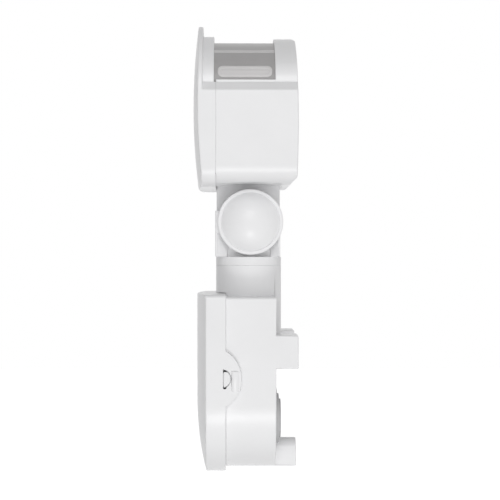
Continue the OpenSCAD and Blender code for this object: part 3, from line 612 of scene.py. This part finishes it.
def crossCutter(headRadius, headHeight, facing):
    cutter = bmesh.new()
    depth = 2 * screwForm["crossDepth"] * headHeight
    thin, long = 2 * screwForm["armHalf"] * headRadius, 2 * screwForm["armReach"] * headRadius
    for across, up in ((thin, long), (long, thin)):
        bmesh.ops.create_cube(cutter, size=1)
        for v in cutter.verts[-8:]:
            v.co = Vector((facing * (headHeight + v.co.x * depth), v.co.y * across, v.co.z * up)) * mm
    bmesh.ops.recalc_face_normals(cutter, faces=cutter.faces)
    mesh = bpy.data.meshes.new("crossCutter")
    cutter.to_mesh(mesh)
    cutter.free()
    return linkedObject("crossCutter", mesh)


def crossScrew(headRadius, headHeight, shaftRadius, length, facing):
    # One pan-head cross-recess screw along X, its head's seat at the origin
    profile = screwProfile(headRadius, headHeight, shaftRadius, length)
    shape = turned([(r, facing * along) for r, along in profile], (0, 0, 0), "X", screwForm["steps"])
    mesh = bpy.data.meshes.new("screwBody")
    shape.to_mesh(mesh)
    shape.free()
    body = linkedObject("screwBody", mesh)
    cutter = crossCutter(headRadius, headHeight, facing)
    cut = body.modifiers.new("cross", "BOOLEAN")
    cut.object = cutter
    cut.operation = "DIFFERENCE"
    cut.solver = "EXACT"
    cut.use_self = True
    cutMesh = frozen(body)
    body.modifiers.remove(cut)
    body.data = cutMesh
    bpy.data.objects.remove(cutter)
    return body


screwSets = {
    "headShellScrews": {"node": "head_screws", "headRadius": 2.6, "headHeight": 2.1, "shaftRadius": 1.4,
                        "columns": 2, "rows": 2, "facing": 1, "seed": 3},
    "boardScrews": {"node": "board_screws", "headRadius": 2.3, "headHeight": 1.5, "shaftRadius": 1.15,
                    "columns": 2, "rows": 2, "facing": -1, "seed": 8},
    "clampScrews": {"node": "terminal_screws", "headRadius": 2.1, "headHeight": 1.7, "shaftRadius": 1.2,
                    "columns": 4, "rows": 1, "facing": -1, "seed": 5},
}


def addScrews(name, tree, node, headRadius, headHeight, shaftRadius, columns, rows, facing, seed):
    low, high = [[v / mm for v in corner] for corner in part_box(node)]
    length = high[0] - low[0] - headHeight
    seat = high[0] - headHeight if facing > 0 else low[0] + headHeight
    across = (high[1] - low[1] - 2 * headRadius) / max(columns - 1, 1)
    up = (high[2] - low[2] - 2 * headRadius) / max(rows - 1, 1)
    screw = crossScrew(headRadius, headHeight, shaftRadius, length, facing)
    mesh = grown(name, tree, {
        "Across": across * mm, "Up": up * mm, "Columns": columns, "Rows": rows, "Seed": seed,
        "First": (seat * mm, (low[1] + headRadius) * mm, (low[2] + headRadius) * mm),
        "Screw": screw, "Finish": materials[slotOf[node]]})
    bpy.data.objects.remove(screw)
    shape = bmesh.new()
    shape.from_mesh(mesh)
    bpy.data.meshes.remove(mesh)
    addPiece(name, shape, [node])


screwLayout = screwTree()
for name, values in screwSets.items():
    addScrews(name, screwLayout, **values)
print("screws placed")

# top is the distance from the ribs' middle to the dial's face
dialRibs = {"radius": 4.86, "ribRadius": 0.3, "ribSides": 10, "count": 26, "length": 2.4, "top": 1.5,
            "smoothAngle": 50}


def ribTree():
    # Grip ribs round a dial's edge
    tree, given, out = newGeometryTree("dialGrip", {
        "Radius": ("Float", None), "Ribs": ("Int", None), "Rib Radius": ("Float", None),
        "Length": ("Float", None), "Middle": ("Vector", None), "Finish": ("Material", None)})
    ring = addNode(tree, "GeometryNodeMeshCircle", {},
                   {"Vertices": given["Ribs"], "Radius": given["Radius"]})
    rib = addNode(tree, "GeometryNodeMeshCylinder", {"Vertices": dialRibs["ribSides"]},
                  {"Radius": given["Rib Radius"], "Depth": given["Length"]})
    ribs = addNode(tree, "GeometryNodeInstanceOnPoints", {},
                   {"Points": ring.outputs[0], "Instance": rib.outputs[0]})
    solid = addNode(tree, "GeometryNodeRealizeInstances", {}, {"Geometry": ribs.outputs[0]})
    placed = addNode(tree, "GeometryNodeTransform", {"Rotation": (0, math.pi / 2, 0)},
                     {"Geometry": solid.outputs[0], "Translation": given["Middle"]})
    return finished(tree, placed.outputs[0], given, out)


def addDialGrip(name, tree, node):
    low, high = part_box(node)
    middle = (high[0] - dialRibs["top"] * mm, (low[1] + high[1]) / 2, (low[2] + high[2]) / 2)
    mesh = grown(name, tree, {
        "Radius": dialRibs["radius"] * mm, "Ribs": dialRibs["count"],
        "Rib Radius": dialRibs["ribRadius"] * mm, "Length": dialRibs["length"] * mm,
        "Middle": middle, "Finish": materials[slotOf[node]]})
    mesh.shade_smooth()
    mesh.set_sharp_from_angle(angle=math.radians(dialRibs["smoothAngle"]))
    piece = linkedObject(name, mesh)
    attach(piece, bodyOf[node])


grip = ribTree()
addDialGrip("timeDialGrip", grip, "time_dial")
addDialGrip("lightDialGrip", grip, "light_dial")
print("dials ribbed")

# Distances along the axis are from the middle plane; sleeve is the ring that centres the cap
sideCap = {"radius": 14.5, "inner": 13.0, "rimTop": 16.0, "rimHeight": 0.4, "dome": 5.2, "edge": 0.5,
           "innerEdge": 0.3, "seat": 13, "floor": 13.6, "sleeve": (5.7, 6.4), "sleeveEnd": 11}


def addSideCap(name, node, side):
    # A domed cap with a raised flat rim
    low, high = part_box(node)
    centre = [(low[i] + high[i]) / 2 / mm for i in range(3)]
    radius, inner, top, edge, innerEdge, seat, floor, dome = (sideCap[k] for k in (
        "radius", "inner", "rimTop", "edge", "innerEdge", "seat", "floor", "dome"))
    bore, sleeve = sideCap["sleeve"]
    foot = top - sideCap["rimHeight"]
    ball = (inner ** 2 + dome ** 2) / (2 * dome)
    opening = math.degrees(math.asin(inner / ball))
    profile = [(0, floor), (bore, floor), (bore, sideCap["sleeveEnd"]), (sleeve, sideCap["sleeveEnd"]),
               (sleeve, seat), (radius - 0.2, seat), (radius, seat + 0.2)]
    profile += arc((radius - edge, top - edge), edge, 0, 90, 5)
    profile += arc((inner + innerEdge, top - innerEdge), innerEdge, 90, 180, 3)
    profile += [(inner, foot)]
    profile += arc((0, foot + dome - ball), ball, 90 - opening, 90, 28)[1:-1]
    profile += [(0, foot + dome)]
    shape = turned([(r, side * along) for r, along in profile], (centre[0], 0, centre[2]), "Y")
    addPiece(name, shape, [node])


addSideCap("leftSideCap", "left_pivot_cap", 1)
addSideCap("rightSideCap", "right_pivot_cap", -1)
print("side caps turned")

yoke = {"axisX": -21.2, "collarTop": 41.2, "radius": 14.65, "cheekFace": 9.9,
        "seamEdge": 0.25, "rimEdge": 0.4, "innerEdge": 0.15}


def yokeEdge(middle, a, b):
    fromAxis = math.hypot(middle.x - yoke["axisX"], middle.y)
    if fromAxis > yoke["radius"] - 0.2 and middle.z < yoke["collarTop"] + 0.1:
        return yoke["seamEdge"]
    onCheek = abs(middle.y) > yoke["cheekFace"] and middle.z > yoke["collarTop"] - 0.1
    return yoke["rimEdge"] if onCheek else yoke["innerEdge"]


softened("swivelYoke", "swivel_yoke", 0.4, yokeEdge)
print("swivel rounded")

# An even room with a broad glow from round the camera and a little below it, as from white boards.
# farLamp fills the side that the photograph doesn't show.
studio = {
    "ambient": 0.35,
    "glow": 1.12,
    "glowFocus": 4,
    "glowFrom": (0.15, -0.9, -0.3),
    "aim": (-20, 0, 44),
    "lowLamp": {"place": (-26, -503, -268), "size": 110, "power": 0.38},
    "highLamp": {"place": (-22, -828, 400), "size": 300, "power": 0.98},
    "farLamp": {"place": (-26, 800, 60), "size": 300, "power": 1.1, "reflects": False},
    "floorHeight": -330,
    "floorHalf": 4000,
    "floorGlow": 0.75,
}


def mathNode(tree, operation, *values):
    # Each value is a number or another node's output
    node = addNode(tree, "ShaderNodeMath", {"operation": operation})
    for socket, value in zip(node.inputs, values):
        if isinstance(value, (int, float)):
            socket.default_value = value
        else:
            tree.links.new(value, socket)
    return node.outputs[0]


def joinWhite(tree, lit, white, surface):
    # White where the camera, a reflection or a clear material looks straight at it, else lit
    path = addNode(tree, "ShaderNodeLightPath")
    seen = mathNode(tree, "MAXIMUM", path.outputs["Is Camera Ray"], path.outputs["Is Glossy Ray"])
    seen = mathNode(tree, "MAXIMUM", seen, path.outputs["Is Transmission Ray"])
    mix = addNode(tree, "ShaderNodeMixShader", {}, {"Fac": seen})
    tree.links.new(lit.outputs[0], mix.inputs[1])
    tree.links.new(white.outputs[0], mix.inputs[2])
    tree.links.new(mix.outputs[0], surface)


def addWorld():
    world = bpy.data.worlds.new("paleStudio")
    bpy.context.scene.world = world
    world.use_nodes = True
    tree = world.node_tree
    tree.nodes.clear()
    coords = addNode(tree, "ShaderNodeTexCoord")
    facing = addNode(tree, "ShaderNodeVectorMath", {"operation": "DOT_PRODUCT"})
    facing.inputs[1].default_value = Vector(studio["glowFrom"]).normalized()
    tree.links.new(coords.outputs["Generated"], facing.inputs[0])
    lobe = mathNode(tree, "MAXIMUM", facing.outputs["Value"], 0)
    soft = mathNode(tree, "POWER", lobe, studio["glowFocus"])
    level = mathNode(tree, "MULTIPLY_ADD", soft, studio["glow"], studio["ambient"])
    lit = addNode(tree, "ShaderNodeBackground", {"Color": (1, 1, 1, 1)}, {"Strength": level})
    white = addNode(tree, "ShaderNodeBackground", {"Color": (1, 1, 1, 1), "Strength": 1})
    joinWhite(tree, lit, white, addNode(tree, "ShaderNodeOutputWorld").inputs["Surface"])


def addFloor():
    # It takes no part in the device's light, and shows white
    half, height = studio["floorHalf"] * mm, studio["floorHeight"] * mm
    corners = [(x * half, y * half, height) for x, y in ((-1, -1), (1, -1), (1, 1), (-1, 1))]
    mesh = bpy.data.meshes.new("studioFloor")
    mesh.from_pydata(corners, [], [(0, 1, 2, 3)])
    floor = linkedObject("studioFloor", mesh)
    material, tree, out = newMaterial("mattWhitePaper")
    diffuse = addNode(tree, "ShaderNodeBsdfDiffuse", {"Color": linear("#f8f8f8")})
    glow = addNode(tree, "ShaderNodeEmission", {"Color": (1, 1, 1, 1), "Strength": studio["floorGlow"]})
    both = addNode(tree, "ShaderNodeAddShader")
    tree.links.new(diffuse.outputs[0], both.inputs[0])
    tree.links.new(glow.outputs[0], both.inputs[1])
    joinWhite(tree, diffuse, both, out.inputs["Surface"])
    mesh.materials.append(material)
    floor.visible_diffuse = False
    floor.visible_shadow = False


def addLamp(name, place, size, power, reflects=True):
    data = bpy.data.lights.new(name, "AREA")
    data.shape = "DISK"
    data.size = size * mm
    data.energy = power
    obj = linkedObject(name, data)
    placeAndAim(obj, place, studio["aim"])
    obj.visible_camera = False
    obj.visible_glossy = reflects


addWorld()
addFloor()
for name in ("lowLamp", "highLamp", "farLamp"):
    addLamp(name, **studio[name])
bpy.context.scene.view_settings.view_transform = "Standard"
print("studio lit")
